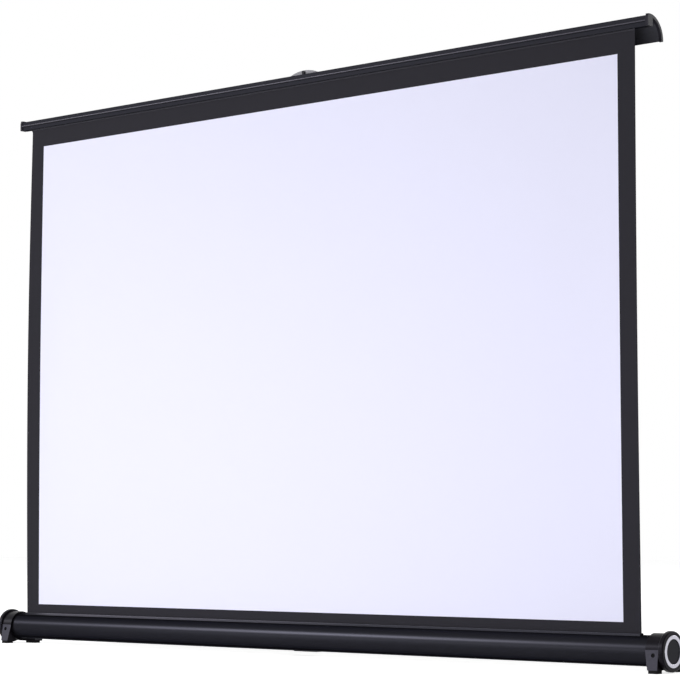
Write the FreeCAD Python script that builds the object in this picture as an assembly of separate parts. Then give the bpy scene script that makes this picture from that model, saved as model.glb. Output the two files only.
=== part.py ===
import FreeCAD, Part
import math
import os

# Tabletop pull-up projection screen: a spring roller in a round housing, a cloth with a black
# border, a curved top bar, and a folding arm behind the cloth that holds the bar up.
# Millimetres. +X runs along the screen, +Y away from the viewer, +Z up from the table.
# The origin is under the middle of the whole screen, on the table.

os.makedirs("parts", exist_ok=True)

Vector = FreeCAD.Vector
AXIS_X = Vector(1, 0, 0)
AXIS_Y = Vector(0, 1, 0)
AXIS_Z = Vector(0, 0, 1)

# Cloth
white_width = 1056.0
white_height = 706.0
white_base = 60.0
side_border = 26.0
top_border = 28.9
cloth_gauge = 0.4
coat_gauge = 0.15

# Housing tube
tube_radius = 19.0
tube_wall = 1.5
tube_lift = 7.0
tube_behind = 3.0
slot_width = 4.4
lip_gauge = 1.8
lip_rise = 2.0

# End caps
collar_past_cloth = 16.7
collar_length = 19.3
collar_gauge = 2.9
cap_fit = 0.1
cap_wall = 2.0
flange_radius = 25.0
flange_gauge = 6.8
flange_round = 1.5
pedestal_width = 14.0
pedestal_inset = 1.0
pedestal_toe = 3.0
pedestal_flare = 3.0
pedestal_behind = 25.0
pedestal_lift = 4.0
pivot_from_flange = 8.0
ring_radius = 19.7
ring_width = 4.5
ring_seat = 1.2
ring_proud = 0.7
ring_round = 0.45
disc_gauge = 1.4
disc_sink = 0.6
trim_fit = 0.05

# Rubber pads and swivel feet
pad_length = 13.0
pad_inset = 0.4
pad_round = 1.8
foot_behind = 15.0
foot_reach = 34.0
foot_width = 15.0
foot_gauge = 3.4
foot_pad_gauge = 3.0
foot_pad_length = 22.0
foot_pad_inset = 2.0
foot_taper = 2.5
foot_clear = 0.4
foot_pin_radius = 2.5
foot_pin_head = 4.4
foot_pin_cap = 1.3
foot_pin_bite = 4.0

# Roller and spring
roller_radius = 11.0
roller_wall = 0.8
roller_behind_tube = 2.5
roller_past_cloth = 2.0
wound_gauge = 0.9
lead_gap = 0.35
plug_length = 16.0
plug_rim = 3.0
axle_radius = 3.0
bearing_length = 13.0
bearing_fit = 0.15
axle_end_gap = 1.0
spring_turns = 24
spring_length = 172.0
spring_radius = 7.0
spring_wire = 1.2
spring_end_gap = 0.5
anchor_length = 9.0

# Screws
screw_radius = 1.6
screw_head = 2.6
screw_head_gauge = 1.8
screw_sink = 2.2
screw_drop = 4.0
cap_screw_length = 9.0

# Top bar
bar_past_cloth = 19.0
bar_wall = 1.6
wall_height = 13.5
wall_forward = 5.0
shell_radius = 27.5
shell_forward = 0.8
shell_dip_degrees = 2.0
ridge_drop = 6.6
ridge_radius = 1.3
strip_recess = 0.45
groove_half = 3.4
groove_mouth = 2.6
groove_lip = 1.5
rib_gauge = 1.4
batten_radius = 2.3
batten_gap = 0.2
trim_length = 4.0
trim_inside = 1.9
trim_outside = 1.9
trim_round = 0.9
tongue_length = 9.0
tongue_gauge = 2.2

# Head block and its arched tab on top of the bar
block_width = 28.0
block_back_wall = 2.4
block_rise = 0.6
tab_width = 75.6
tab_rise = 8.6
tab_gauge = 3.0
tab_behind = 9.0
tab_root = 4.0
tab_screw_rise = 5.0
tab_screw_head = 2.6
block_screw_spread = 9.0
block_screw_behind = 17.0

# Folding arm
arm_width = 16.0
arm_gauge = 3.0
arm_gap = 0.3
arm_groove_width = 6.0
arm_groove_depth = 0.7
over_centre_degrees = 1.0
low_pivot_rise = 14.0
top_pivot_drop = 6.0
pin_radius = 3.0
pin_head = 5.5
pin_cap = 1.6
pin_grip = 8.0
washer_radius = 6.5
stop_gauge = 3.0
stop_length = 14.0
stop_start = 7.0
closed_bar_top = 62.5

# Arm bracket on the back of the housing
bracket_width = 44.0
bracket_low = 5.5
bracket_high = 24.0
bracket_round = 2.0
bracket_screw_spread = 15.0
bracket_screw_rise = 11.0
bracket_screw_bite = 3.5

# Fits and cuts
fixed_fit = 0.02
running_fit = 0.05
overrun = 5.0

# Heights and half lengths that follow from the sizes above
cloth_half = white_width / 2 + side_border
white_top = white_base + white_height
tube_axis = tube_lift + tube_radius
lip_top = tube_axis + tube_radius + lip_rise
wall_base = white_top + top_border
bar_top = wall_base + wall_height
collar_start = cloth_half + collar_past_cloth
collar_radius = tube_radius + cap_fit + collar_gauge
flange_start = collar_start + collar_length
flange_end = flange_start + flange_gauge
bore_end = flange_start - cap_wall
pedestal_end = flange_start - pedestal_inset
pedestal_start = pedestal_end - pedestal_width
pivot_line = flange_start - pivot_from_flange
tube_half = bore_end - cap_fit
bar_half = cloth_half + bar_past_cloth
roller_half = cloth_half + roller_past_cloth
bearing_end = tube_half - cap_fit
bearing_start = bearing_end - bearing_length

# Depths: the cloth's place along Y centres the whole screen on the origin
shell_back_reach = shell_radius - shell_forward
block_reach = shell_back_reach + block_back_wall
upper_arm_reach = block_reach + arm_gap
lower_arm_reach = upper_arm_reach + arm_gauge + arm_gap
arm_back_reach = lower_arm_reach + arm_gauge
pin_back_reach = arm_back_reach + arm_gap + pin_cap
front_reach = flange_radius - tube_behind
foot_back_reach = tube_behind + foot_behind + foot_reach
cloth_y = (front_reach - max(pin_back_reach, foot_back_reach)) / 2
tube_y = cloth_y + tube_behind
roller_y = tube_y + roller_behind_tube
shell_y = cloth_y - shell_forward
shell_z = bar_top - shell_radius
block_back = cloth_y + block_reach
upper_arm_front = cloth_y + upper_arm_reach
lower_arm_front = cloth_y + lower_arm_reach
arm_back = cloth_y + arm_back_reach
pin_back = cloth_y + pin_back_reach
wall_front = cloth_y - wall_forward

# Folding arm: equal links between the low pivot and the top pivot
low_pivot = Vector(0, 0, low_pivot_rise)
top_pivot = Vector(0, 0, bar_top - top_pivot_drop)
lean = math.radians(over_centre_degrees)
link = (top_pivot.z - low_pivot.z) / 2 / math.cos(lean)
elbow = Vector(-link * math.sin(lean), 0, low_pivot.z + link * math.cos(lean))
bar_travel = bar_top - closed_bar_top
closed_span = top_pivot.z - low_pivot.z - bar_travel
fold_degrees = over_centre_degrees + math.degrees(math.acos(closed_span / 2 / link))


def box(x_span, y_span, z_span):
    """A block between the two ends of each span."""
    corner = Vector(x_span[0], y_span[0], z_span[0])
    return Part.makeBox(x_span[1] - x_span[0], y_span[1] - y_span[0], z_span[1] - z_span[0], corner)


def rod_x(radius, x_span, y, z):
    """A round bar along X."""
    return Part.makeCylinder(radius, x_span[1] - x_span[0], Vector(x_span[0], y, z), AXIS_X)


def rod_y(radius, x, y_span, z):
    """A round bar along Y."""
    return Part.makeCylinder(radius, y_span[1] - y_span[0], Vector(x, y_span[0], z), AXIS_Y)


def rod_z(radius, x, y, z_span):
    """A round bar along Z."""
    return Part.makeCylinder(radius, z_span[1] - z_span[0], Vector(x, y, z_span[0]), AXIS_Z)


def around(x, y, z, radius, angle):
    """The point on a circle about the X axis through y, z, with the angle counted from +Y to +Z."""
    return Vector(x, y + radius * math.cos(angle), z + radius * math.sin(angle))


def prism_x(edges, x_span):
    """A closed outline, drawn at the start of the span, carried along X."""
    face = Part.Face(Part.Wire(edges))
    return face.extrude(AXIS_X * (x_span[1] - x_span[0]))


def line(start, end):
    """A straight edge."""
    return Part.LineSegment(start, end).toShape()


def arc(start, middle, end):
    """A round edge through three points."""
    return Part.Arc(start, middle, end).toShape()


def one(shape):
    """The shape with its coplanar faces joined."""
    return shape.removeSplitter()


def left(shape):
    """The mirror image of a right-hand piece."""
    return shape.mirror(Vector(0, 0, 0), AXIS_X)


def save(name, shape):
    """Writes one piece, as one solid or a group of separate solids."""
    solids = shape.Solids
    if not solids:
        raise ValueError(name + " has no solid")
    for solid in solids:
        if not solid.isValid() or solid.Volume <= 0:
            raise ValueError(name + " is not a sound solid")
    whole = solids[0] if len(solids) == 1 else Part.makeCompound(solids)
    whole.exportStep("parts/" + name + ".step")
    print(name, len(solids), round(whole.Volume, 1))


def save_pair(name, shape):
    """Writes the right-hand piece and its mirror image."""
    save(name + "_right", shape)
    save(name + "_left", left(shape))


def round_edges_along(shape, axis, radius, keep):
    """Rounds the straight edges along an axis whose middle passes the test."""
    chosen = []
    for edge in shape.Edges:
        if not isinstance(edge.Curve, Part.Line):
            continue
        ends = edge.Vertexes[1].Point - edge.Vertexes[0].Point
        if abs(ends.normalize().dot(axis)) > math.cos(lean) and keep(edge.CenterOfMass):
            chosen.append(edge)
    return shape.makeFillet(radius, chosen)


def housing_tube():
    """Round extrusion, open along a slot over the cloth, with a rounded lip each side of the slot."""
    span = (-tube_half, tube_half)
    outer = rod_x(tube_radius, span, tube_y, tube_axis)
    long_span = (-tube_half - overrun, tube_half + overrun)
    bore = rod_x(tube_radius - tube_wall, long_span, tube_y, tube_axis)
    slot_sides = (cloth_y - slot_width / 2, cloth_y + slot_width / 2)
    slot = box(long_span, slot_sides, (tube_axis, lip_top + overrun))
    lip_span = (-cloth_half, cloth_half)
    lips = []
    for side, edge in ((-1, slot_sides[0]), (1, slot_sides[1])):
        outside = edge + side * lip_gauge
        sides = (min(edge, outside), max(edge, outside))
        lips.append(box(lip_span, sides, (tube_axis, lip_top - lip_gauge / 2)))
        lips.append(rod_x(lip_gauge / 2, lip_span, (edge + outside) / 2, lip_top - lip_gauge / 2))
    tube = outer.multiFuse(lips).cut(bore).cut(slot)
    for side in (-1, 1):
        place = side * pivot_line
        hole = (tube_y - tube_radius - overrun, tube_y + tube_radius + overrun)
        tube = tube.cut(rod_y(screw_radius + cap_fit, place, hole, tube_axis - screw_drop))
        rear = (tube_y, tube_y + tube_radius + overrun)
        tube = tube.cut(rod_y(screw_radius + cap_fit, side * bracket_screw_spread, rear, bracket_screw_rise))
    return one(tube)


def pedestal():
    """The foot block under the collar: a web tapers down to it, and its back has a recess for the foot."""
    front = tube_y - collar_radius
    low_front = front - pedestal_flare
    back = tube_y + pedestal_behind
    foot_front = foot_y() - foot_width / 2 - foot_clear
    recess_top = foot_top() + foot_clear
    outline = [
        (front, tube_axis),
        (low_front, pedestal_lift),
        (foot_front, pedestal_lift),
        (foot_front, recess_top),
        (back, recess_top),
        (back, recess_top + pedestal_toe),
        (tube_y + collar_radius / 2, tube_axis),
    ]
    corners = [Vector(pedestal_start, y, z) for y, z in outline]
    block = Part.Face(Part.makePolygon(corners + corners[:1])).extrude(AXIS_X * pedestal_width)
    web = [
        Vector(collar_start, front, tube_axis),
        Vector(pedestal_start, low_front, pedestal_lift),
        Vector(pedestal_end, low_front, pedestal_lift),
        Vector(pedestal_end, front, tube_axis),
    ]
    web_depth = AXIS_Y * (foot_front - front)
    return block.fuse(Part.Face(Part.makePolygon(web + web[:1])).extrude(web_depth))


def foot_y():
    """Depth of the swivel foot's pivot."""
    return tube_y + foot_behind


def end_cap():
    """Moulded cap: collar round the tube, flange with a seat for the ring and disc, and pedestal."""
    collar = rod_x(collar_radius, (collar_start, flange_start + flange_round), tube_y, tube_axis)
    flange = rod_x(flange_radius, (flange_start, flange_end), tube_y, tube_axis)
    rims = [edge for edge in flange.Edges if isinstance(edge.Curve, Part.Circle)]
    flange = flange.makeFillet(flange_round, rims)
    cap = collar.multiFuse([flange, pedestal()])
    bore = rod_x(tube_radius + cap_fit, (collar_start - overrun, bore_end), tube_y, tube_axis)
    seat = rod_x(ring_radius + trim_fit, (flange_end - ring_seat, flange_end + overrun), tube_y, tube_axis)
    disc_radius = ring_radius - ring_width
    disc_floor = flange_end - ring_seat - disc_sink
    disc_seat = rod_x(disc_radius - trim_fit, (disc_floor, flange_end), tube_y, tube_axis)
    cap = cap.cut(bore).cut(seat).cut(disc_seat)
    front = tube_y - collar_radius
    hole_z = tube_axis - screw_drop
    hole = rod_y(screw_radius + cap_fit, pivot_line, (front - overrun, tube_y), hole_z)
    head = rod_y(screw_head + cap_fit, pivot_line, (front - overrun, front + screw_sink), hole_z)
    pin_span = (0, foot_top() + foot_clear + foot_pin_bite)
    pin = rod_z(foot_pin_radius + fixed_fit, pivot_line, foot_y(), pin_span)
    return one(cap.cut(hole).cut(head).cut(pin).cut(foot_room()))


def foot_room():
    """Room under the collar for the swivel foot as it turns."""
    half = foot_width / 2 + foot_clear
    height = (0, foot_top() + foot_clear)
    along = (collar_start - overrun, pivot_line)
    room = box(along, (foot_y() - half, foot_y() + half), height)
    return room.fuse(rod_z(half, pivot_line, foot_y(), height))


def trim_ring():
    """Bright ring pressed into the flange, standing a little proud."""
    span = (flange_end - ring_seat, flange_end + ring_proud)
    ring = rod_x(ring_radius, span, tube_y, tube_axis)
    ring = ring.cut(rod_x(ring_radius - ring_width, span, tube_y, tube_axis))
    proud = [edge for edge in ring.Edges if edge.CenterOfMass.x > flange_end]
    return ring.makeFillet(ring_round, [edge for edge in proud if isinstance(edge.Curve, Part.Circle)])


def end_disc():
    """Dark disc inside the ring."""
    radius = ring_radius - ring_width - 2 * trim_fit
    start = flange_end - ring_seat - disc_sink
    disc = rod_x(radius, (start, start + disc_gauge), tube_y, tube_axis)
    rims = [edge for edge in disc.Edges if edge.CenterOfMass.x > start + disc_gauge / 2]
    return disc.makeChamfer(ring_round, [edge for edge in rims if isinstance(edge.Curve, Part.Circle)])


def cap_screw():
    """Screw through the pedestal's flat front into the bearing block."""
    start = tube_y - collar_radius + screw_sink - screw_head_gauge
    z = tube_axis - screw_drop
    head = rod_y(screw_head, pivot_line, (start, start + screw_head_gauge), z)
    shank = rod_y(screw_radius, pivot_line, (start, start + cap_screw_length), z)
    socket = rod_y(screw_radius / 2, pivot_line, (start - overrun, start + screw_head_gauge / 2), z)
    return one(head.fuse(shank).cut(socket))


def front_pad():
    """Rubber sole under the pedestal's front."""
    front = tube_y - collar_radius - pedestal_flare
    sides = (pedestal_start + pad_inset, pedestal_end - pad_inset)
    pad = box(sides, (front + pad_inset, front + pad_length), (0, pedestal_lift))
    return round_edges_along(pad, AXIS_Z, pad_round, lambda point: True)


def bearing():
    """Plug in the tube's end that carries the roller's axle."""
    block = rod_x(tube_radius - tube_wall - bearing_fit, (bearing_start, bearing_end), tube_y, tube_axis)
    lane = box(
        (bearing_start - overrun, bearing_end + overrun),
        (cloth_y - slot_width / 2 - cap_fit, cloth_y + slot_width / 2 + cap_fit),
        (tube_axis + roller_radius + wound_gauge, lip_top),
    )
    pilot_span = (tube_y - tube_radius, screw_tip() + cap_fit)
    pilot = rod_y(screw_radius + fixed_fit, pivot_line, pilot_span, tube_axis - screw_drop)
    return block.cut(lane).cut(pilot)


def screw_tip():
    """Depth that the cap screw reaches."""
    return tube_y - collar_radius + screw_sink - screw_head_gauge + cap_screw_length


def bearing_bore(radius):
    """The axle's hole in a bearing block, closed at its outer end."""
    return rod_x(radius, (bearing_start - overrun, bearing_end - axle_end_gap), roller_y, tube_axis)


def roller_tube():
    """Thin tube that winds the cloth."""
    span = (-roller_half, roller_half)
    tube = rod_x(roller_radius, span, roller_y, tube_axis)
    return tube.cut(rod_x(roller_radius - roller_wall, span, roller_y, tube_axis))


def roller_plug(bore_radius):
    """Plug in the roller's end, with a rim and an axle hole."""
    inside = roller_radius - roller_wall - fixed_fit
    body = rod_x(inside, (roller_half - plug_length, roller_half + plug_rim), roller_y, tube_axis)
    rim = rod_x(roller_radius, (roller_half, roller_half + plug_rim), roller_y, tube_axis)
    hole_span = (roller_half - plug_length - overrun, roller_half + plug_rim + overrun)
    return one(body.fuse(rim).cut(rod_x(bore_radius, hole_span, roller_y, tube_axis)))


def axle_tip():
    """Outer end of the roller's axle in its bearing."""
    return bearing_end - axle_end_gap - running_fit


def wound_cloth():
    """The turns of cloth that stay on the roller when the screen is up."""
    span = (-cloth_half, cloth_half)
    outer = rod_x(roller_radius + fixed_fit + wound_gauge, span, roller_y, tube_axis)
    return outer.cut(rod_x(roller_radius + fixed_fit, span, roller_y, tube_axis))


def spring_start():
    """Inner end of the torsion spring."""
    return roller_half - plug_length - spring_end_gap - spring_length


def spring_point(turn):
    """A point of the spring's centre line, with the turn counted from its inner end."""
    angle = 2 * math.pi * turn
    x = spring_start() + spring_wire / 2 + (spring_length - spring_wire) * turn / spring_turns
    return Vector(x, roller_y + spring_radius * math.cos(angle), tube_axis + spring_radius * math.sin(angle))


def spring_heading(turn):
    """The direction of the spring's wire at a turn."""
    angle = 2 * math.pi * turn
    rise = (spring_length - spring_wire) / spring_turns
    round_speed = 2 * math.pi * spring_radius
    return Vector(rise, -round_speed * math.sin(angle), round_speed * math.cos(angle)).normalize()


def arc_from_heading(start, heading, end):
    """The round edge that leaves start along heading and ends at end."""
    chord = end - start
    across = chord - heading * chord.dot(heading)
    radius = chord.Length ** 2 / (2 * across.Length)
    centre = start + across.normalize() * radius
    middle = (start + end) * 0.5 - centre
    return arc(start, centre + middle.normalize() * radius, end)


def biarc(start, start_heading, end, end_heading):
    """Two tangent arcs that join two points with given headings."""
    chord = end - start
    both = start_heading + end_heading
    bend = 2 * (1 - start_heading.dot(end_heading))
    reach = (-chord.dot(both) + math.sqrt(chord.dot(both) ** 2 + bend * chord.dot(chord))) / bend
    joint = (start + start_heading * reach + end - end_heading * reach) * 0.5
    second = arc_from_heading(end, end_heading * -1, joint)
    return [arc_from_heading(start, start_heading, joint), second]


def torsion_spring():
    """Coil spring on the fixed arbor, one unbroken wire of quarter-turn arcs."""
    quarters = range(4 * spring_turns)
    edges = []
    for quarter in quarters:
        ends = (quarter / 4, (quarter + 1) / 4)
        edges += biarc(
            spring_point(ends[0]), spring_heading(ends[0]), spring_point(ends[1]), spring_heading(ends[1])
        )
    path = Part.Wire(edges)
    section = Part.Wire(Part.Circle(spring_point(0), spring_heading(0), spring_wire / 2).toShape())
    points = [spring_point(quarter / 4) for quarter in quarters]
    gaps = [(points[i + 4] - points[i]).Length - spring_wire for i in range(len(points) - 4)]
    print("least gap between spring turns", round(min(gaps), 2))
    return path.makePipeShell([section], True, False)


def spring_arbor():
    """Fixed shaft inside the roller: held in the right bearing, it carries the spring's anchor."""
    start = spring_start() - anchor_length
    return rod_x(axle_radius, (start, axle_tip()), roller_y, tube_axis)


def spring_anchor():
    """Collar on the arbor that holds the spring's inner end."""
    span = (spring_start() - anchor_length, spring_start() - fixed_fit)
    collar = rod_x(spring_radius + spring_wire, span, roller_y, tube_axis)
    return collar.cut(rod_x(axle_radius + fixed_fit, span, roller_y, tube_axis))


def bar_profile(x_span):
    """The bar's curved shell with its straight front wall, carried along X."""
    x = x_span[0]
    inner_radius = shell_radius - bar_wall
    dip = -math.radians(shell_dip_degrees)
    outer_angle = math.acos((wall_front - shell_y) / shell_radius)
    inner_angle = math.acos((wall_front + bar_wall - shell_y) / inner_radius)
    outer_angles = (outer_angle, (outer_angle + dip) / 2, dip)
    inner_angles = (dip, (inner_angle + dip) / 2, inner_angle)
    outer = [around(x, shell_y, shell_z, shell_radius, angle) for angle in outer_angles]
    inner = [around(x, shell_y, shell_z, inner_radius, angle) for angle in inner_angles]
    front_foot = Vector(x, wall_front, wall_base)
    back_foot = Vector(x, wall_front + bar_wall, wall_base)
    edges = [
        line(front_foot, outer[0]),
        arc(*outer),
        line(outer[2], inner[0]),
        arc(*inner),
        line(inner[2], back_foot),
        line(back_foot, front_foot),
    ]
    return prism_x(edges, x_span)


def top_bar():
    """Curved bar: front wall with a ridge, shell over the back, and a groove that holds the batten."""
    span = (-bar_half, bar_half)
    shell = bar_profile(span)
    ridge_z = bar_top - ridge_drop
    ridge = rod_x(ridge_radius, span, wall_front, ridge_z)
    rib_front = cloth_y + groove_half
    rib_back = rib_front + rib_gauge
    rib_top = shell_z + math.sqrt((shell_radius - bar_wall) ** 2 - (rib_back - shell_y) ** 2) + bar_wall / 2
    rib = box(span, (rib_front, rib_back), (wall_base, rib_top))
    lip_height = (wall_base, wall_base + groove_lip)
    front_lip = box(span, (wall_front + bar_wall / 2, cloth_y - groove_mouth / 2), lip_height)
    back_lip = box(span, (cloth_y + groove_mouth / 2, rib_back), lip_height)
    bar = shell.multiFuse([ridge, rib, front_lip, back_lip])
    long_span = (-bar_half - overrun, bar_half + overrun)
    strip_height = (wall_base - overrun, ridge_z - ridge_radius)
    strip = box(long_span, (wall_front - overrun, wall_front + strip_recess), strip_height)
    bar = bar.cut(strip)
    for side in (-1, 1):
        bar = bar.cut(block_screw_rod(side, screw_radius + cap_fit, overrun))
    return one(bar)


def bar_cap():
    """End trim of the bar: a rim along the shell, a plate over the groove's end and a tongue inside it."""
    span = (bar_half, bar_half + trim_length)
    x = span[0]
    low = shell_radius - trim_inside
    high = shell_radius + trim_outside
    start = math.acos((wall_front - shell_y) / shell_radius)
    dip = -math.radians(shell_dip_degrees)
    middle = (start + dip) / 2
    outer = [around(x, shell_y, shell_z, high, angle) for angle in (start, middle, dip)]
    inner = [around(x, shell_y, shell_z, low, angle) for angle in (dip, middle, start)]
    foot = around(x, shell_y, shell_z, shell_radius + trim_outside, dip - trim_round / shell_radius)
    end_middle = (foot + around(x, shell_y, shell_z, low, dip - trim_round / shell_radius)) * 0.5
    edges = [arc(*outer), arc(outer[2], end_middle, inner[0]), arc(*inner), line(inner[2], outer[0])]
    rim = prism_x(edges, span)
    plate_back = cloth_y + groove_half + rib_gauge
    plate_top = shell_z + low * math.sin(start) + trim_round
    plate = box(span, (wall_front - trim_round, plate_back), (wall_base, plate_top))
    plate = round_edges_along(plate, AXIS_X, trim_round, lambda point: point.z < bar_top - ridge_drop)
    tongue_z = wall_base + groove_lip + batten_gap + 2 * batten_radius + batten_gap
    tongue_half = groove_half - cap_fit
    tongue = box(
        (bar_half - tongue_length, span[1]),
        (cloth_y - tongue_half, cloth_y + tongue_half),
        (tongue_z, tongue_z + tongue_gauge),
    )
    return one(rim.multiFuse([plate, tongue]))


def batten():
    """Round stiffener in the cloth's top hem, held in the bar's groove."""
    z = wall_base + groove_lip + batten_gap + batten_radius
    return rod_x(batten_radius, (-cloth_half, cloth_half), cloth_y, z)


def block_screw_rod(side, radius, extra):
    """The path of a block screw, square to the table, from the block's top into the shell."""
    y = shell_y + block_screw_behind
    shell_top = shell_z + math.sqrt(shell_radius ** 2 - block_screw_behind ** 2)
    span = (shell_top - 2 * bar_wall - extra, bar_top + block_rise + extra)
    return rod_z(radius, side * block_screw_spread, y, span)


def head_block():
    """Cast block on the bar's back shoulder that carries the arm's top pivot, with an arched pull tab."""
    half = block_width / 2
    tab_front = cloth_y + tab_behind - tab_gauge / 2
    tab_back = tab_front + tab_gauge
    block = box((-half, half), (tab_front, block_back), (shell_z, bar_top + block_rise))
    sagitta = tab_rise + tab_root
    arch_radius = ((tab_width / 2) ** 2 + sagitta ** 2) / (2 * sagitta)
    arch = rod_y(arch_radius, 0, (tab_front, tab_back), bar_top + tab_rise - arch_radius)
    rims = [edge for edge in arch.Edges if isinstance(edge.Curve, Part.Circle)]
    arch = arch.makeFillet(tab_gauge / 3, rims)
    long_span = (-tab_width, tab_width)
    above = box(long_span, (tab_front, tab_back), (bar_top - tab_root, bar_top + tab_rise + overrun))
    top_back = lambda point: point.z > bar_top and point.y > tab_back
    block = round_edges_along(block, AXIS_X, bracket_round, top_back)
    block = round_edges_along(block, AXIS_Z, bracket_round, lambda point: point.y > tab_back)
    whole = block.fuse(arch.common(above))
    whole = whole.cut(rod_x(shell_radius + fixed_fit, long_span, shell_y, shell_z))
    pivot_hole = (block_back - pin_grip - fixed_fit, block_back + overrun)
    whole = whole.cut(rod_y(pin_radius + fixed_fit, 0, pivot_hole, top_pivot.z))
    tab_hole = (tab_front - overrun, tab_back + fixed_fit)
    whole = whole.cut(rod_y(screw_radius + fixed_fit, 0, tab_hole, bar_top + tab_screw_rise))
    for side in (-1, 1):
        whole = whole.cut(block_screw_rod(side, screw_radius + fixed_fit, overrun))
    return one(whole)


def tab_screw():
    """Dark screw in the middle of the pull tab."""
    tab_front = cloth_y + tab_behind - tab_gauge / 2
    z = bar_top + tab_screw_rise
    head = rod_y(tab_screw_head, 0, (tab_front - screw_head_gauge, tab_front), z)
    shank = rod_y(screw_radius, 0, (tab_front - screw_head_gauge, tab_front + tab_gauge), z)
    return one(head.fuse(shank))


def block_screw(side):
    """Pan-head screw from the block's top into the bar."""
    y = shell_y + block_screw_behind
    top = bar_top + block_rise
    head = rod_z(screw_head, side * block_screw_spread, y, (top, top + screw_head_gauge))
    return one(head.fuse(block_screw_rod(side, screw_radius, 0)))


def arm_plate(front):
    """Flat link with round ends, standing on its pivot at the origin, with a pressed groove at the back."""
    half = arm_width / 2
    thickness = (front, front + arm_gauge)
    plate = box((-half, half), thickness, (0, link))
    plate = plate.multiFuse([rod_y(half, 0, thickness, 0), rod_y(half, 0, thickness, link)])
    groove_half_width = arm_groove_width / 2
    groove_depth = (front + arm_gauge - arm_groove_depth, front + arm_gauge + overrun)
    ends = (arm_width + arm_groove_width, link - arm_width - arm_groove_width)
    groove = box((-groove_half_width, groove_half_width), groove_depth, ends)
    caps = [rod_y(groove_half_width, 0, groove_depth, end) for end in ends]
    return plate.cut(groove.multiFuse(caps))


def drilled(plate, low_radius, high_radius):
    """A link with its two pivot holes."""
    through = (cloth_y, pin_back + overrun)
    return one(plate.cut(rod_y(low_radius, 0, through, 0)).cut(rod_y(high_radius, 0, through, link)))


def stand_at(shape, foot, degrees):
    """Leans a link about its foot and moves it there."""
    shape.rotate(Vector(0, 0, 0), AXIS_Y, degrees)
    shape.translate(foot)
    return shape


def lower_arm():
    """Lower link, with a lug at the elbow that stops the upper link just past straight."""
    plate = arm_plate(lower_arm_front)
    half = arm_width / 2
    gap_at_stop = (stop_start + stop_length) * math.sin(2 * lean)
    inner = half + arm_gap + gap_at_stop
    outer = inner + stop_gauge
    start = link + stop_start
    lug = box((inner, outer), (upper_arm_front, arm_back), (start, start + stop_length))
    ear = box((0, outer), (lower_arm_front, arm_back), (link - half, start + stop_length))
    whole = drilled(plate.multiFuse([lug, ear]), pin_radius + running_fit, pin_radius + fixed_fit)
    return stand_at(whole, low_pivot, -over_centre_degrees)


def upper_arm():
    """Upper link, from the elbow to the head block."""
    plate = drilled(arm_plate(upper_arm_front), pin_radius + running_fit, pin_radius + running_fit)
    return stand_at(plate, elbow, over_centre_degrees)


def headed_pin(start, end, pivot):
    """Round pin along Y with a domed head on its back end."""
    shank = rod_y(pin_radius, pivot.x, (start, end - pin_cap), pivot.z)
    head = rod_y(pin_head, pivot.x, (end - pin_cap, end), pivot.z)
    rims = [edge for edge in head.Edges if isinstance(edge.Curve, Part.Circle)]
    back_rims = [edge for edge in rims if edge.CenterOfMass.y > end - pin_cap / 2]
    return one(shank.fuse(head.makeFillet(pin_cap / 2, back_rims)))


def elbow_pin():
    """Elbow rivet, fast in the lower link, with a flat washer head in front of the upper link."""
    front = upper_arm_front - running_fit
    rivet = headed_pin(front - pin_cap, arm_back + pin_cap, elbow)
    return one(rivet.fuse(rod_y(pin_head, elbow.x, (front - pin_cap, front), elbow.z)))


def spacer(start, end, pivot):
    """Flat washer round a pin."""
    ring = rod_y(washer_radius, pivot.x, (start, end), pivot.z)
    return ring.cut(rod_y(pin_radius + fixed_fit, pivot.x, (start, end), pivot.z))


def arm_bracket():
    """Saddle block on the back of the housing that carries the arm's low pivot."""
    half = bracket_width / 2
    back = lower_arm_front - arm_gap
    block = box((-half, half), (tube_y, back), (bracket_low, bracket_high))
    block = round_edges_along(block, AXIS_Y, bracket_round, lambda point: True)
    block = block.cut(rod_x(tube_radius + fixed_fit, (-bracket_width, bracket_width), tube_y, tube_axis))
    front_depth = (tube_y - overrun, tube_y + tube_radius / 2)
    block = block.cut(box((-bracket_width, bracket_width), front_depth, (0, tube_axis)))
    hole = (back - pin_grip - fixed_fit, back + overrun)
    block = block.cut(rod_y(pin_radius + fixed_fit, 0, hole, low_pivot.z))
    for side in (-1, 1):
        x = side * bracket_screw_spread
        shank_span = (tube_y, back + overrun)
        head_span = (back - screw_sink, back + overrun)
        block = block.cut(rod_y(screw_radius + cap_fit, x, shank_span, bracket_screw_rise))
        block = block.cut(rod_y(screw_head + cap_fit, x, head_span, bracket_screw_rise))
    return one(block)


def bracket_screw(side):
    """Screw that holds the bracket to the housing."""
    back = lower_arm_front - arm_gap - screw_sink + screw_head_gauge
    wall = tube_y + math.sqrt(tube_radius ** 2 - (tube_axis - bracket_screw_rise) ** 2)
    x = side * bracket_screw_spread
    head = rod_y(screw_head, x, (back - screw_head_gauge, back), bracket_screw_rise)
    shank = rod_y(screw_radius, x, (wall - bracket_screw_bite, back), bracket_screw_rise)
    return one(head.fuse(shank))


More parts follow.
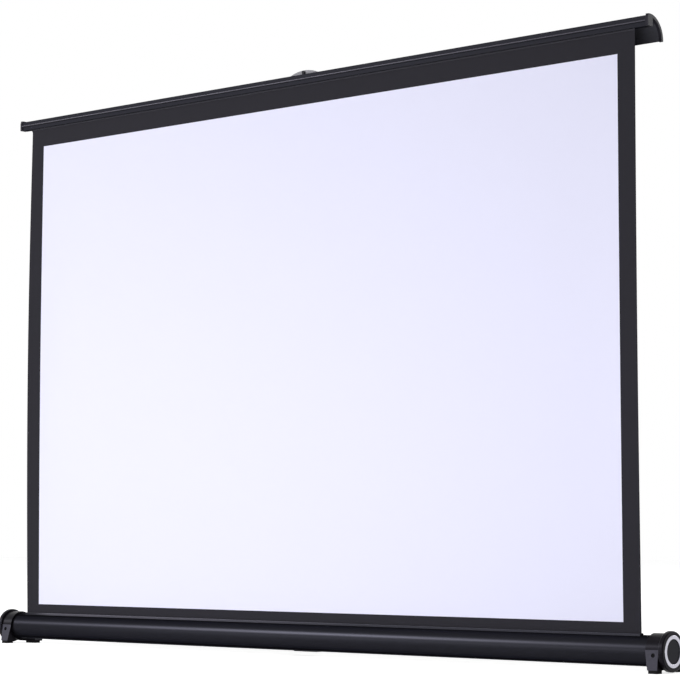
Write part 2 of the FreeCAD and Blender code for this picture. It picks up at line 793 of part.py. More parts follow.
def cloth_line(front, back):
    """The cloth's outline seen from the end: a slanting lead off the roller, then straight up."""
    wound = roller_radius + fixed_fit + wound_gauge + lead_gap
    turn_z = lip_top - lip_rise
    rise = turn_z - tube_axis
    setback = cloth_y - roller_y
    tangent = math.atan2(rise, setback) + math.acos(wound / math.hypot(rise, setback))
    lead_y = roller_y + wound * math.cos(tangent)
    lead_z = tube_axis + wound * math.sin(tangent)
    top = wall_base + groove_lip - batten_gap
    points = [
        Vector(-cloth_half, lead_y + front, lead_z),
        Vector(-cloth_half, cloth_y + front, turn_z),
        Vector(-cloth_half, cloth_y + front, top),
        Vector(-cloth_half, cloth_y + back, top),
        Vector(-cloth_half, cloth_y + back, turn_z),
        Vector(-cloth_half, lead_y + back, lead_z),
    ]
    return points + points[:1]


def screen_fabric():
    """Black cloth from the roller to the bar."""
    outline = Part.Face(Part.makePolygon(cloth_line(-cloth_gauge, 0)))
    return outline.extrude(AXIS_X * (2 * cloth_half))


def viewing_surface():
    """White surface on the cloth's face."""
    face = (cloth_y - cloth_gauge - coat_gauge, cloth_y - cloth_gauge)
    return box((-white_width / 2, white_width / 2), face, (white_base, white_top))


def foot_top():
    """Height of the swivel foot's upper face."""
    return foot_pad_gauge + foot_gauge


def swivel_foot():
    """Flat foot, stowed along the tube, that turns about a pin behind the pedestal."""
    half = foot_width / 2
    depth = (foot_y() - half, foot_y() + half)
    height = (foot_pad_gauge, foot_top())
    tip = pivot_line - foot_reach
    bar = box((tip, pivot_line), depth, height)
    bar = bar.fuse(rod_z(half, pivot_line, foot_y(), height))
    slope = [
        Vector(tip - overrun, depth[0] - overrun, foot_top() - foot_gauge / 2),
        Vector(tip, depth[0] - overrun, foot_top() - foot_gauge / 2),
        Vector(tip + foot_taper, depth[0] - overrun, foot_top() + overrun),
        Vector(tip - overrun, depth[0] - overrun, foot_top() + overrun),
    ]
    wedge = Part.Face(Part.makePolygon(slope + slope[:1])).extrude(AXIS_Y * (foot_width + 2 * overrun))
    bar = bar.cut(wedge)
    bar = bar.cut(rod_z(foot_pin_radius + running_fit, pivot_line, foot_y(), (0, foot_top() + overrun)))
    sink = (foot_pad_gauge - overrun, foot_pad_gauge + foot_pin_cap + foot_clear)
    return one(bar.cut(rod_z(foot_pin_head + foot_clear, pivot_line, foot_y(), sink)))


def foot_pad():
    """Rubber pad under the swivel foot's free end."""
    start = pivot_line - foot_reach + foot_pad_inset
    half = foot_width / 2 - foot_pad_inset
    pad = box((start, start + foot_pad_length), (foot_y() - half, foot_y() + half), (0, foot_pad_gauge))
    return round_edges_along(pad, AXIS_Z, foot_pad_inset, lambda point: True)


def turned_out(shape):
    """A right-hand foot's piece, turned about the foot's pin to point to the back."""
    shape.rotate(Vector(pivot_line, foot_y(), 0), AXIS_Z, -90)
    return shape


def foot_pin():
    """Shoulder screw that the foot turns about, with its head sunk in the foot."""
    base = foot_pad_gauge + running_fit
    head = rod_z(foot_pin_head, pivot_line, foot_y(), (base, base + foot_pin_cap))
    top = foot_top() + foot_clear + foot_pin_bite - fixed_fit
    return one(head.fuse(rod_z(foot_pin_radius, pivot_line, foot_y(), (base, top))))


def main():
    save("housing_tube", housing_tube())
    save_pair("end_cap", end_cap())
    save_pair("trim_ring", trim_ring())
    save_pair("end_disc", end_disc())
    save_pair("cap_screw", cap_screw())
    save_pair("front_pad", front_pad())
    save("roller_bearing_right", bearing().cut(bearing_bore(axle_radius + fixed_fit)))
    save("roller_bearing_left", left(bearing().cut(bearing_bore(axle_radius + running_fit))))
    save("roller_tube", roller_tube())
    save("roller_plug_right", roller_plug(axle_radius + running_fit))
    save("roller_plug_left", left(roller_plug(axle_radius + fixed_fit)))
    save("idler_axle", left(rod_x(axle_radius, (roller_half - plug_length, axle_tip()), roller_y, tube_axis)))
    save("wound_cloth", wound_cloth())
    save("spring_arbor", spring_arbor())
    save("spring_anchor", spring_anchor())
    save("torsion_spring", torsion_spring())
    save("arm_bracket", arm_bracket())
    save("bracket_screws", Part.makeCompound([bracket_screw(-1), bracket_screw(1)]))
    bracket_back = lower_arm_front - arm_gap
    save("low_pivot_pin", headed_pin(bracket_back - pin_grip, pin_back, low_pivot))
    save("lower_arm", lower_arm())
    save("elbow_pin", elbow_pin())
    save("upper_arm", upper_arm())
    save("top_bar", top_bar())
    save_pair("bar_cap", bar_cap())
    save("cloth_batten", batten())
    save("head_block", head_block())
    save("tab_screw", tab_screw())
    save("block_screws", Part.makeCompound([block_screw(-1), block_screw(1)]))
    top_pin_back = upper_arm_front + arm_gauge + arm_gap + pin_cap
    save("top_pivot_pin", headed_pin(block_back - pin_grip, top_pin_back, top_pivot))
    save("screen_fabric", screen_fabric())
    save("viewing_surface", viewing_surface())
    save("swivel_foot_left", left(swivel_foot()))
    save("swivel_foot_right", turned_out(swivel_foot()))
    save("foot_pad_left", left(foot_pad()))
    save("foot_pad_right", turned_out(foot_pad()))
    save_pair("foot_pin", foot_pin())
    print("low pivot", low_pivot, "elbow", elbow, "top pivot", top_pivot, "fold", round(fold_degrees, 3))
    print("cloth, roller and foot depths", round(cloth_y, 3), round(roller_y, 3), round(foot_y(), 3))
    print("foot pivot", pivot_line, "bar travel", round(bar_travel, 3), "pin back", round(pin_back, 3))


main()
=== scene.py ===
import math

import bpy
import numpy as np
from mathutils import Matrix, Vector


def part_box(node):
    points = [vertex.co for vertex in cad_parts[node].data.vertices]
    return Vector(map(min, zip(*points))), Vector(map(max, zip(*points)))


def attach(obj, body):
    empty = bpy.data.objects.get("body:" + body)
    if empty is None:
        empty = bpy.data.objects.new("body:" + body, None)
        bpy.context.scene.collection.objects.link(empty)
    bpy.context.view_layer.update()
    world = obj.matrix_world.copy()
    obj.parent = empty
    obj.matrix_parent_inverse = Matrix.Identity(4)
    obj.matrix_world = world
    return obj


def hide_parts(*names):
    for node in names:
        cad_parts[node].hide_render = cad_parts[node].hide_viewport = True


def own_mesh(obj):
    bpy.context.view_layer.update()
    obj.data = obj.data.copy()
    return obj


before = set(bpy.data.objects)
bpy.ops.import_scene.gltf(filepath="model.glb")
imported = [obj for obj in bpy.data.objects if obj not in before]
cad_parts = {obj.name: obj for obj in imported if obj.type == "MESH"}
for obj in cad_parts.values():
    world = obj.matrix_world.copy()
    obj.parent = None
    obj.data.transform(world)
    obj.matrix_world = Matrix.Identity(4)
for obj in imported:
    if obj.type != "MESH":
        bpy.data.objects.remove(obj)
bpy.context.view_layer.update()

bl_info = {
    "name": "Projection Screen Looks",
    "version": (1, 0, 0),
    "blender": (4, 5, 0),
    "location": "View3D > Sidebar > Screen",
    "description": "Cloth, finishes and studio of a tabletop pull-up projection screen",
    "category": "Object",
}

MM = 0.001
SIDES = ("left", "right")
FABRIC_LOW, FABRIC_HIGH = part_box("screen_fabric")
WHITE_LOW, WHITE_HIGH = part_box("viewing_surface")
HOUSING_LOW, HOUSING_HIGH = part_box("housing_tube")
BAR_LOW, BAR_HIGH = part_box("top_bar")

# Sizes of the solids that the boxes don't give
FABRIC_GAUGE = 0.4 * MM
LIP_REACH = 4.2 * MM
LIP_HEIGHT = 3.3 * MM
RIDGE_PROUD = 1.25 * MM
COLLAR_WALL = 2.9 * MM
HOLLOW_FRONT = 7.0 * MM

# The cloth: its hem, its way through the slot, its curl and its grid
# The top band of the cloth, under the bar, gets a lighter colour: painted light that fills the shadow the bar casts
SHADOW_FILL_LOW = FABRIC_HIGH[2] - 3.3 * MM
LEAD_STRAIGHT = 2.0 * MM
RIGHT_CURL_SHARE = 0.45
SIDE_COLUMNS = 6
WHITE_COLUMNS = 81
LEAD_ROWS = 4
BAND_ROWS = 4
WHITE_ROWS = 61
SHADOW_FILL_ROWS = 3
CREASE = math.radians(40)

# Finishes: the painted highlight along the lip, the threads and a margin round a box of faces
LIP_SHEEN_START = 20.0 * MM
LIP_SHEEN_FULL = 50.0 * MM
LIP_SHEEN_END = 115.0 * MM
THREAD = 0.6 * MM
WAVE_RADIANS = 20.0
FACE_MARGIN = 2.0 * MM
FORWARD = -0.5

# The stage: the floor and each lamp's place, aim and size in metres
FLOOR_HALF = 9.0
FLOOR_GLOW = 0.73
KEY_LAMP = ((-5.2, -5.2, 3.52), (0.0, 0.0, 0.3), (1.7, 1.5))
BOUNCE_LAMP = ((-0.15, -1.1, 0.03), (-0.15, 0.0, 0.3), (2.4, 0.5))
BACK_LAMP = ((1.6, 4.4, 1.9), (0.0, 0.0, 0.4), (2.4, 1.2))


class ScreenClothSettings(bpy.types.PropertyGroup):
    """Sizes and colours of the cloth."""

    gauge: bpy.props.FloatProperty(
        name="Thickness",
        description="Thickness of the coated cloth",
        default=0.55 * MM,
        unit="LENGTH",
    )
    curl: bpy.props.FloatProperty(
        name="Edge Curl",
        description="How far the free side edges curl forward at mid height",
        default=5.0 * MM,
        unit="LENGTH",
    )
    curl_width: bpy.props.FloatProperty(
        name="Curl Width",
        description="Width of the band along each side that curls",
        default=90.0 * MM,
        unit="LENGTH",
    )
    black: bpy.props.StringProperty(
        name="Border Colour",
        description="Colour of the black cloth, as an sRGB hex value",
        default="#2A292F",
    )
    # Lighter than the border: painted light that fills the bar's shadow on the cloth
    hem: bpy.props.StringProperty(
        name="Hem Colour",
        description="Colour of the doubled hem just under the bar, as an sRGB hex value",
        default="#4A4950",
    )
    white: bpy.props.StringProperty(
        name="Screen Colour",
        description="Colour of the white coating, as an sRGB hex value",
        default="#E9E9FE",
    )


class ScreenFinishSettings(bpy.types.PropertyGroup):
    """Colours of the hard pieces."""

    anodised: bpy.props.StringProperty(
        name="Extrusion Colour",
        description="Colour of the anodised tube and bar, as an sRGB hex value",
        default="#232328",
    )
    moulding: bpy.props.StringProperty(
        name="Moulding Colour",
        description="Colour of the black mouldings, as an sRGB hex value",
        default="#110F13",
    )
    # Lighter than the moulding: a painted sheen for the light that the flat fronts of the end caps catch
    pedestal_sheen: bpy.props.StringProperty(
        name="Pedestal Colour",
        description="Colour of the smooth fronts of the end caps' pedestals, as an sRGB hex value",
        default="#46454E",
    )
    disc: bpy.props.StringProperty(
        name="Disc Colour",
        description="Colour of the discs in the end caps, as an sRGB hex value",
        default="#24252B",
    )
    ring: bpy.props.StringProperty(
        name="Ring Colour",
        description="Colour of the plated rings, as an sRGB hex value",
        default="#BDBCC6",
    )
    # Brighter than the tube: a painted highlight along the lip
    lip_sheen: bpy.props.StringProperty(
        name="Burnish Colour",
        description="Colour of the tube's rubbed lip at its left end, as an sRGB hex value",
        default="#403F46",
    )
    # Lighter than the bar and fully metallic: a painted highlight along the ridge
    ridge: bpy.props.StringProperty(
        name="Ridge Colour",
        description="Colour of the bar's rubbed ridge, as an sRGB hex value",
        default="#343339",
    )
    # A lighter grey than the bar: painted light for the shaded inside of the bar
    hollow_fill: bpy.props.StringProperty(
        name="Hollow Colour",
        description="Colour of the dull lining inside the bar, as an sRGB hex value",
        default="#47474E",
    )
    trim: bpy.props.StringProperty(
        name="Trim Colour",
        description="Colour of the bar's end trims, as an sRGB hex value",
        default="#28272D",
    )
    casting: bpy.props.StringProperty(
        name="Casting Colour",
        description="Colour of the silver head block, as an sRGB hex value",
        default="#C4C3CB",
    )


class ScreenStageSettings(bpy.types.PropertyGroup):
    """The studio round the screen."""

    camera_place: bpy.props.FloatVectorProperty(
        name="Camera Place",
        description="Where the camera stands",
        default=(2.0601, FABRIC_HIGH[1] - 2.3522, 0.1715),
        subtype="TRANSLATION",
        unit="LENGTH",
    )
    camera_turn: bpy.props.FloatProperty(
        name="Camera Turn",
        description="Angle to the left of the screen's depth that the camera looks along",
        default=math.radians(40.19),
        subtype="ANGLE",
    )
    camera_pitch: bpy.props.FloatProperty(
        name="Camera Pitch",
        description="Angle above the horizontal that the camera looks along",
        default=math.radians(4.83),
        subtype="ANGLE",
    )
    lens: bpy.props.FloatProperty(
        name="Lens",
        description="Focal length on a sensor 36 mm wide",
        default=119.5,
        unit="CAMERA",
    )
    key_power: bpy.props.FloatProperty(
        name="Key Power",
        description="Power of the softbox in front",
        default=358.0,
        unit="POWER",
    )
    bounce_power: bpy.props.FloatProperty(
        name="Bounce Power",
        description="Power of the low panel that lifts the screen's foot",
        default=13.0,
        unit="POWER",
    )
    back_power: bpy.props.FloatProperty(
        name="Back Power",
        description="Power of the softbox behind, which shows the folding arm",
        default=80.0,
        unit="POWER",
    )
    sky: bpy.props.FloatProperty(
        name="Fill",
        description="Strength of the even light from all round",
        default=0.19,
        min=0.0,
    )


def linear(hex_colour):
    """An sRGB hex value as linear red, green, blue and alpha."""
    channels = [int(hex_colour[i : i + 2], 16) / 255 for i in (1, 3, 5)]
    return [c / 12.92 if c <= 0.04045 else ((c + 0.055) / 1.055) ** 2.4 for c in channels] + [1.0]


def add(tree, kind, settings=None, **sockets):
    """Adds a node; settings are its own options, and sockets are values or other nodes' outputs."""
    node = tree.nodes.new(kind)
    for name, value in (settings or {}).items():
        setattr(node, name, value)
    for name, value in sockets.items():
        numbered = name[0] == "i" and name[1:].isdigit()
        socket = node.inputs[int(name[1:]) if numbered else name.replace("_", " ")]
        if isinstance(value, bpy.types.NodeSocket):
            tree.links.new(value, socket)
        else:
            socket.default_value = value
    return node


def material(name, colour, roughness, metallic=0.0, ior=1.5, gloss=0.5):
    """A new material with one shader; gives back the material, its tree and the shader.
    A gloss of 0.5 is a smooth skin, and less is a skin whose pits swallow part of the reflection."""
    made = bpy.data.materials.new(name)
    made.use_nodes = True
    tree = made.node_tree
    tree.nodes.clear()
    shader = add(tree, "ShaderNodeBsdfPrincipled", Base_Color=linear(colour), Roughness=roughness, Metallic=metallic)
    if not metallic:
        shader.inputs["IOR"].default_value = ior
        shader.inputs["Specular IOR Level"].default_value = gloss
    output = add(tree, "ShaderNodeOutputMaterial")
    tree.links.new(shader.outputs["BSDF"], output.inputs["Surface"])
    return made, tree, shader


def grain(tree, shader, size, depth, stretch=(1.0, 1.0, 1.0)):
    """Fine relief of a surface: noise whose grains have a real size, stretched along an axis."""
    place = add(tree, "ShaderNodeTexCoord")
    scaled = add(tree, "ShaderNodeMapping", Vector=place.outputs["Object"], Scale=[s / size for s in stretch])
    noise = add(tree, "ShaderNodeTexNoise", Vector=scaled.outputs["Vector"], Scale=1.0, Detail=3.0)
    relief = add(tree, "ShaderNodeBump", Height=noise.outputs["Fac"], Distance=depth, Strength=1.0)
    tree.links.new(relief.outputs["Normal"], shader.inputs["Normal"])
    return noise


def anodised_aluminium(name, colour, roughness):
    """Extruded and black anodised: a dark satin metal with faint draw lines along its length. The dyed
    oxide scatters a little light, and keeps the edges dark where the surface turns away."""
    made, tree, shader = material(name, colour, roughness, metallic=0.6)
    shader.inputs["Specular IOR Level"].default_value = 0.0
    shader.inputs["Specular Tint"].default_value = linear("#9A9AA0")
    lines = grain(tree, shader, 0.8 * MM, 0.012 * MM, (0.004, 1.0, 1.0))
    spread = add(
        tree, "ShaderNodeMapRange", Value=lines.outputs["Fac"], To_Min=roughness - 0.04, To_Max=roughness + 0.04
    )
    tree.links.new(spread.outputs["Result"], shader.inputs["Roughness"])
    return made


def painted_lip_sheen(colour, dull_colour):
    """The same black extrusion with a painted highlight: a brighter metal colour along the lip that
    stands in for its reflection. It starts a little way in from the cloth's left edge and fades out past the middle."""
    made, tree, shader = material("painted_sheen_lip", colour, 0.36, metallic=1.0)
    place = add(tree, "ShaderNodeTexCoord")
    along = add(tree, "ShaderNodeSeparateXYZ", Vector=place.outputs["Object"])
    full = FABRIC_LOW[0] + LIP_SHEEN_FULL
    rise = {"From_Min": FABRIC_LOW[0] + LIP_SHEEN_START, "From_Max": full}
    fall = {"From_Min": full, "From_Max": LIP_SHEEN_END, "To_Min": 1.0, "To_Max": 0.0}
    ramps = [add(tree, "ShaderNodeMapRange", Value=along.outputs["X"], **ends) for ends in (rise, fall)]
    first, second = [ramp.outputs["Result"] for ramp in ramps]
    share = add(tree, "ShaderNodeMath", {"operation": "MULTIPLY"}, i0=first, i1=second)
    tone = add(
        tree,
        "ShaderNodeMix",
        {"data_type": "RGBA"},
        i0=share.outputs["Value"],
        i6=linear(dull_colour),
        i7=linear(colour),
    )
    tree.links.new(tone.outputs[2], shader.inputs["Base Color"])
    return made


def moulded_abs(name, colour, roughness, gloss=0.06):
    """Injection moulded ABS with a spark-eroded satin face, whose pits swallow most of the gloss."""
    made, tree, shader = material(name, colour, roughness, ior=1.54, gloss=gloss)
    shader.inputs["Specular Tint"].default_value = linear("#D6D4EC")
    grain(tree, shader, 0.35 * MM, 0.01 * MM)
    return made


def plated_ring(colour):
    """Chrome plate over plastic, brushed round: a bright ring that blurs what it mirrors."""
    made, tree, shader = material("brushed_chrome_plate", colour, 0.3, metallic=1.0)
    grain(tree, shader, 0.5 * MM, 0.008 * MM)
    return made


def cast_zinc(colour):
    """Zinc die casting with silver lacquer: pale, slightly uneven, with a soft sheen."""
    made, tree, shader = material("silver_lacquered_zinc", colour, 0.5, gloss=0.15)
    mottle = grain(tree, shader, 2.5 * MM, 0.12 * MM)
    tone = add(
        tree,
        "ShaderNodeMix",
        {"data_type": "RGBA"},
        i0=mottle.outputs["Fac"],
        i6=linear("#8E8D95"),
        i7=linear(colour),
    )
    tree.links.new(tone.outputs[2], shader.inputs["Base Color"])
    return made


def zinc_plated_steel():
    """Turned steel, zinc plated: grey bright metal with a slightly rough skin."""
    made, tree, shader = material("zinc_plated_steel", "#B9B9BD", 0.34, metallic=1.0)
    grain(tree, shader, 0.6 * MM, 0.01 * MM)
    return made


def powder_coat():
    """Powder coated steel: black with a fine orange-peel that breaks up the highlight."""
    made, tree, shader = material("black_powder_coat", "#1B1B1D", 0.48, ior=1.5)
    grain(tree, shader, 1.2 * MM, 0.03 * MM)
    return made


def black_oxide():
    """Black oxide on a steel screw: nearly black with an oily gleam."""
    made, tree, shader = material("black_oxide_steel", "#141416", 0.4, metallic=1.0)
    grain(tree, shader, 0.4 * MM, 0.01 * MM)
    return made


def moulded_rubber():
    """Moulded rubber: black and dull, with no clear highlight."""
    made, tree, shader = material("moulded_rubber", "#0F0F10", 0.85, ior=1.52, gloss=0.15)
    grain(tree, shader, 0.5 * MM, 0.03 * MM)
    return made


def hollow_fill_flock(colour):
    """Short fibres sprayed on the inside of the bar: dull, with no highlight, and a lighter grey than
    the bar that paints light into the shade inside it.
    """
    made, tree, shader = material("painted_fill_flock", colour, 0.9, gloss=0.1)
    grain(tree, shader, 0.4 * MM, 0.05 * MM)
    return made


def coated_cloth(name, colour, roughness):
    """Coated woven glass cloth: matte, with a weave drawn at its thread spacing. The threads are finer
    than the picture shows, as in the photograph, and only dull the sheen."""
    made, tree, shader = material(name, colour, roughness, ior=1.5, gloss=0.1)
    place = add(tree, "ShaderNodeTexCoord")
    scale = 2 * math.pi / (WAVE_RADIANS * THREAD)
    warp = add(tree, "ShaderNodeTexWave", {"bands_direction": "X"}, Vector=place.outputs["Object"], Scale=scale)
    weft = add(tree, "ShaderNodeTexWave", {"bands_direction": "Z"}, Vector=place.outputs["Object"], Scale=scale)
    weave = add(tree, "ShaderNodeMath", {"operation": "MULTIPLY"}, i0=warp.outputs["Fac"], i1=weft.outputs["Fac"])
    relief = add(tree, "ShaderNodeBump", Height=weave.outputs["Value"], Distance=0.02 * MM, Strength=0.5)
    tree.links.new(relief.outputs["Normal"], shader.inputs["Normal"])
    return made


def sided(*names):
    """Left and right names of paired nodes."""
    return [f"{name}_{side}" for name in names for side in SIDES]


def finish_nodes(names, made):
    """Gives CAD nodes a finish."""
    for name in names:
        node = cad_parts[name]
        node.data.materials.clear()
        node.data.materials.append(made)


def refinish(name, made, low, high):
    """Gives another finish to the faces of a CAD node that look forward and lie between two corners."""
    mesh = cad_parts[name].data
    middles = np.array([face.center for face in mesh.polygons])
    forward = np.array([face.normal.y for face in mesh.polygons]) < FORWARD
    index = np.array([face.material_index for face in mesh.polygons], dtype=np.int32)
    index[forward & np.all((middles > low) & (middles < high), axis=1)] = len(mesh.materials)
    mesh.materials.append(made)
    mesh.polygons.foreach_set("material_index", index)


def forward_curl(x, share, settings):
    """How far the cloth bows forward: nothing in the middle, a square law across each side band,
    and half a sine wave from the housing to the bar. The right side bows less."""
    half = FABRIC_HIGH[0]
    into_band = np.clip((np.abs(x) - (half - settings.curl_width)) / settings.curl_width, 0, 1)
    side = np.where(x < 0, 1.0, RIGHT_CURL_SHARE)
    return settings.curl * side * into_band**2 * np.sin(math.pi * share)


def cloth_grid(settings):
    """The cloth as a grid of x across and height up: it leaves the roller on a slant, turns upright
    in the slot, and from there its place in depth is the flat plane less the forward curl."""
    half, white = FABRIC_HIGH[0], WHITE_HIGH[0]
    side = np.linspace(-half, -white, SIDE_COLUMNS)
    x = np.concatenate([side, np.linspace(-white, white, WHITE_COLUMNS)[1:-1], -side[::-1]])
    slot_z = HOUSING_HIGH[2] - LEAD_STRAIGHT
    z = np.concatenate(
        [
            np.linspace(FABRIC_LOW[2], slot_z, LEAD_ROWS),
            np.linspace(HOUSING_HIGH[2], WHITE_LOW[2], BAND_ROWS)[:-1],
            np.linspace(WHITE_LOW[2], WHITE_HIGH[2], WHITE_ROWS)[:-1],
            np.linspace(WHITE_HIGH[2], SHADOW_FILL_LOW, BAND_ROWS)[:-1],
            np.linspace(SHADOW_FILL_LOW, FABRIC_HIGH[2], SHADOW_FILL_ROWS),
        ]
    )
    back = FABRIC_HIGH[1]
    setback = back - FABRIC_LOW[1] - FABRIC_GAUGE
    slant = np.clip((slot_z - z) / (slot_z - FABRIC_LOW[2]), 0, 1) * setback
    share = np.clip((z - slot_z) / (FABRIC_HIGH[2] - slot_z), 0, 1)
    grid_x, grid_z = np.meshgrid(x, z)
    grid_share = np.meshgrid(x, share)[1]
    grid_slant = np.meshgrid(x, slant)[1]
    behind = back - grid_slant - forward_curl(grid_x, grid_share, settings)
    faces = [np.stack([grid_x, behind - gap, grid_z], axis=-1) for gap in (settings.gauge, 0.0)]
    return x, z, faces


def strip(first, second):
    """Quads between two rows of vertex numbers."""
    return np.stack([first[:-1], first[1:], second[1:], second[:-1]], axis=-1).reshape(-1, 4)


def new_mesh(name, points, quads):
    """A smooth mesh object with crisp edges, from an array of points and an array of quads."""
    mesh = bpy.data.meshes.new(name)
    mesh.from_pydata(points.tolist(), [], quads.tolist())
    mesh.update()
    mesh.polygons.foreach_set("use_smooth", np.ones(len(quads), dtype=bool))
    mesh.set_sharp_from_angle(angle=CREASE)
    made = bpy.data.objects.new(name, mesh)
    bpy.context.scene.collection.objects.link(made)
    return made


def closed_sheet(name, faces):
    """A thin closed sheet from the grids of its front and back; gives back the object and the number of
    quads in its front."""
    rows, columns = faces[0].shape[:2]
    points = np.concatenate([face.reshape(-1, 3) for face in faces])
    number = np.arange(columns * rows).reshape(rows, columns)
    behind = number + columns * rows
    front = np.concatenate([strip(number[i], number[i + 1]) for i in range(rows - 1)])
    back = np.concatenate([strip(behind[i + 1], behind[i]) for i in range(rows - 1)])
    rim = [
        strip(behind[0], number[0]),
        strip(number[-1], behind[-1]),
        strip(number[:, 0], behind[:, 0]),
        strip(behind[:, -1], number[:, -1]),
    ]
    return new_mesh(name, points, np.concatenate([front, back] + rim)), len(front)


class ScreenClothOperator(bpy.types.Operator):
    """Builds the cloth, with its white face and black border"""

    bl_idname = "screen.cloth"
    bl_label = "Cloth"

    def execute(self, context):
        settings = context.scene.screen_cloth
        x, z, faces = cloth_grid(settings)
        cloth, fronts = closed_sheet("cloth", [face[LEAD_ROWS:] for face in faces])
        lead = closed_sheet("cloth_lead", [face[: LEAD_ROWS + 1] for face in faces])[0]
        black = coated_cloth("black_coated_cloth", settings.black, 0.85)
        lead.data.materials.append(black)
        cloth.data.materials.append(black)
        cloth.data.materials.append(coated_cloth("white_matte_coating", settings.white, 0.9))
        # The lighter band under the bar is painted light against the bar's shadow
        cloth.data.materials.append(coated_cloth("shadow_fill_hem_cloth", settings.hem, 0.85))
        middle_x = (x[1:] + x[:-1]) / 2
        middle_z = (z[1:] + z[:-1])[LEAD_ROWS:] / 2
        inside_x = np.abs(middle_x) < WHITE_HIGH[0]
        inside_z = (middle_z > WHITE_LOW[2]) & (middle_z < WHITE_HIGH[2])
        in_shadow_fill = 2 * np.outer(middle_z > SHADOW_FILL_LOW, np.ones(len(middle_x)))
        index = np.zeros(len(cloth.data.polygons), dtype=np.int32)
        index[:fronts] = (np.outer(inside_z, inside_x) + in_shadow_fill).ravel()
        cloth.data.polygons.foreach_set("material_index", index)
        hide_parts("screen_fabric", "viewing_surface")
        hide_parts("screen_fabric")
        for piece in (cloth, lead):
            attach(piece, "base")
        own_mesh(cloth)
        finish_nodes(["wound_cloth"], black)
        return {"FINISHED"}


class ScreenHousingOperator(bpy.types.Operator):
    """Finishes the housing, its end caps and its feet"""

    bl_idname = "screen.housing"
    bl_label = "Housing"

    def execute(self, context):
        finish = context.scene.screen_finish
        moulding = moulded_abs("black_moulded_abs", finish.moulding, 0.29, 0.08)
        tube = anodised_aluminium("black_anodised_tube", finish.anodised, 0.3)
        finish_nodes(["housing_tube"], tube)
        # The lip's forward faces get a painted highlight
        lip_low = (HOUSING_LOW[0], FABRIC_HIGH[1] - LIP_REACH, HOUSING_HIGH[2] - LIP_HEIGHT)
        lip_high = (HOUSING_HIGH[0], FABRIC_HIGH[1] - LIP_REACH / 2, HOUSING_HIGH[2] + MM)
        refinish("housing_tube", painted_lip_sheen(finish.lip_sheen, finish.anodised), lip_low, lip_high)
        finish_nodes(sided("end_cap", "swivel_foot", "roller_bearing", "roller_plug"), moulding)
        # The flat fronts of the end caps get a lighter colour, a painted sheen
        smooth = moulded_abs("pedestal_sheen_abs", finish.pedestal_sheen, 0.4)
        for side in SIDES:
            pad_low, pad_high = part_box(f"front_pad_{side}")
            low = pad_low - Vector((FACE_MARGIN, FACE_MARGIN, 0.0))
            high = Vector((pad_high[0] + FACE_MARGIN, HOUSING_LOW[1] - COLLAR_WALL, HOUSING_HIGH[2]))
            refinish(f"end_cap_{side}", smooth, low, high)
        finish_nodes(sided("trim_ring"), plated_ring(finish.ring))
        finish_nodes(sided("end_disc"), moulded_abs("grey_moulded_abs", finish.disc, 0.3))
        finish_nodes(sided("front_pad", "foot_pad"), moulded_rubber())
        finish_nodes(sided("cap_screw"), black_oxide())
        steel = zinc_plated_steel()
        inside = ["roller_tube", "idler_axle", "spring_arbor", "spring_anchor", "torsion_spring"]
        finish_nodes(inside + sided("foot_pin"), steel)
        return {"FINISHED"}


class ScreenBarOperator(bpy.types.Operator):
    """Finishes the top bar, its end trims and its head block"""

    bl_idname = "screen.bar"
    bl_label = "Top Bar"

    def execute(self, context):
        finish = context.scene.screen_finish
        bar = anodised_aluminium("black_anodised_bar", finish.anodised, 0.55)
        finish_nodes(["top_bar"], bar)
        # The ridge's forward faces get a painted highlight
        ridge_high = (BAR_HIGH[0], BAR_LOW[1] + RIDGE_PROUD, BAR_HIGH[2])
        ridge = material("painted_sheen_ridge", finish.ridge, 0.36, metallic=1.0)[0]
        refinish("top_bar", ridge, BAR_LOW - Vector((MM, MM, MM)), ridge_high)
        # The forward faces inside the bar get a lighter grey that paints light into their shade
        hollow_low = (BAR_LOW[0] - MM, FABRIC_HIGH[1] + HOLLOW_FRONT, BAR_LOW[2] - MM)
        refinish("top_bar", hollow_fill_flock(finish.hollow_fill), hollow_low, BAR_HIGH)
        finish_nodes(sided("bar_cap"), moulded_abs("black_trim_abs", finish.trim, 0.4))
        finish_nodes(["cloth_batten"], moulded_abs("extruded_pvc", "#2A2A2A", 0.5))
        finish_nodes(["head_block"], cast_zinc(finish.casting))
        finish_nodes(["tab_screw", "block_screws"], black_oxide())
        return {"FINISHED"}


class ScreenArmOperator(bpy.types.Operator):
    """Finishes the folding arm and its bracket"""

    bl_idname = "screen.arm"
    bl_label = "Folding Arm"

    def execute(self, context):
        finish_nodes(["lower_arm", "upper_arm", "arm_bracket"], powder_coat())
        pins = ["low_pivot_pin", "elbow_pin", "top_pivot_pin", "bracket_screws"]
        finish_nodes(pins, zinc_plated_steel())
        return {"FINISHED"}


def area_lamp(name, place, aim, size, power):
    """A soft rectangular lamp that faces a point."""
    lamp = bpy.data.lights.new(name, "AREA")
    lamp.shape = "RECTANGLE"
    lamp.size, lamp.size_y = size
    lamp.energy = power
    made = bpy.data.objects.new(name, lamp)
    made.location = place
    made.rotation_euler = (Vector(aim) - Vector(place)).to_track_quat("-Z", "Y").to_euler()
    bpy.context.scene.collection.objects.link(made)
    return made


def seen_directly(tree):
    """One for camera, mirror and glass rays, and zero for the rays that light the object."""
    path = add(tree, "ShaderNodeLightPath")
    rays = add(
        tree,
        "ShaderNodeMath",
        {"operation": "MAXIMUM"},
        i0=path.outputs["Is Camera Ray"],
        i1=path.outputs["Is Glossy Ray"],
    )
    return add(
        tree,
        "ShaderNodeMath",
        {"operation": "MAXIMUM"},
        i0=rays.outputs["Value"],
        i1=path.outputs["Is Transmission Ray"],
    ).outputs["Value"]


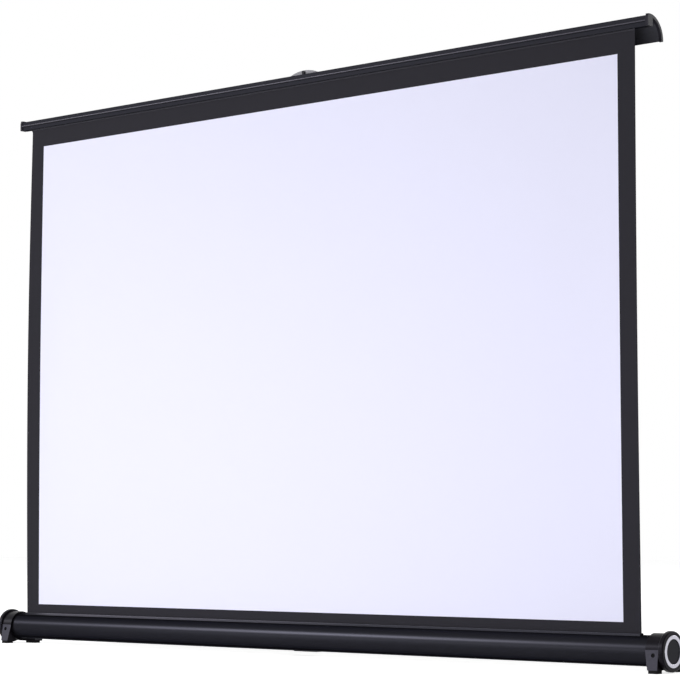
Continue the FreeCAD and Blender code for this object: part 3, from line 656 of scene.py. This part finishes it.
class ScreenStageOperator(bpy.types.Operator):
    """Sets the floor, the lamps, the white background and the camera"""

    bl_idname = "screen.stage"
    bl_label = "Stage"

    def execute(self, context):
        scene = context.scene
        settings = scene.screen_stage
        scene.view_settings.view_transform = "Standard"
        corners = FLOOR_HALF * np.array([[-1, -1, 0], [1, -1, 0], [1, 1, 0], [-1, 1, 0]], dtype=float)
        floor = new_mesh("floor", corners, np.array([[0, 1, 2, 3]]))
        paper, tree, shader = material("white_backdrop_paper", "#E6E6E6", 0.9)
        shader.inputs["Emission Color"].default_value = linear("#FFFFFF")
        glow = add(tree, "ShaderNodeMath", {"operation": "MULTIPLY"}, i0=seen_directly(tree), i1=FLOOR_GLOW)
        tree.links.new(glow.outputs["Value"], shader.inputs["Emission Strength"])
        floor.data.materials.append(paper)
        world = bpy.data.worlds.new("studio_white")
        scene.world = world
        world.use_nodes = True
        tree = world.node_tree
        tree.nodes.clear()
        seen = seen_directly(tree)
        strength = add(tree, "ShaderNodeMapRange", Value=seen, To_Min=settings.sky, To_Max=1.0)
        sky = add(tree, "ShaderNodeBackground", Color=linear("#FFFFFF"), Strength=strength.outputs["Result"])
        output = add(tree, "ShaderNodeOutputWorld")
        tree.links.new(sky.outputs["Background"], output.inputs["Surface"])
        lamps = [
            area_lamp("key_softbox", *KEY_LAMP, settings.key_power),
            area_lamp("floor_bounce", *BOUNCE_LAMP, settings.bounce_power),
            area_lamp("back_softbox", *BACK_LAMP, settings.back_power),
        ]
        camera = bpy.data.cameras.new("camera")
        camera.sensor_width = 36.0
        camera.lens = settings.lens
        view = bpy.data.objects.new("camera", camera)
        view.location = settings.camera_place
        view.rotation_euler = (math.pi / 2 + settings.camera_pitch, 0.0, settings.camera_turn)
        scene.collection.objects.link(view)
        scene.camera = view
        return {"FINISHED"}


class ScreenPanel(bpy.types.Panel):
    """Lists the screen's pieces and their settings"""

    bl_idname = "VIEW3D_PT_screen"
    bl_label = "Projection Screen"
    bl_space_type = "VIEW_3D"
    bl_region_type = "UI"
    bl_category = "Screen"

    def draw(self, context):
        layout = self.layout
        for group in (context.scene.screen_cloth, context.scene.screen_finish, context.scene.screen_stage):
            for name in group.__annotations__:
                layout.prop(group, name)
        for operator in OPERATORS:
            layout.operator(operator.bl_idname)


OPERATORS = (
    ScreenClothOperator,
    ScreenHousingOperator,
    ScreenBarOperator,
    ScreenArmOperator,
    ScreenStageOperator,
)
GROUPS = {
    "screen_cloth": ScreenClothSettings,
    "screen_finish": ScreenFinishSettings,
    "screen_stage": ScreenStageSettings,
}


def register():
    for group in GROUPS.values():
        bpy.utils.register_class(group)
    for operator in OPERATORS:
        bpy.utils.register_class(operator)
    bpy.utils.register_class(ScreenPanel)
    for name, group in GROUPS.items():
        setattr(bpy.types.Scene, name, bpy.props.PointerProperty(type=group))


def unregister():
    for name in GROUPS:
        delattr(bpy.types.Scene, name)
    bpy.utils.unregister_class(ScreenPanel)
    for operator in reversed(OPERATORS):
        bpy.utils.unregister_class(operator)
    for group in reversed(GROUPS.values()):
        bpy.utils.unregister_class(group)


def main():
    register()
    bpy.ops.screen.cloth()
    bpy.ops.screen.housing()
    bpy.ops.screen.bar()
    bpy.ops.screen.arm()
    bpy.ops.screen.stage()


if __name__ == "__main__":
    main()
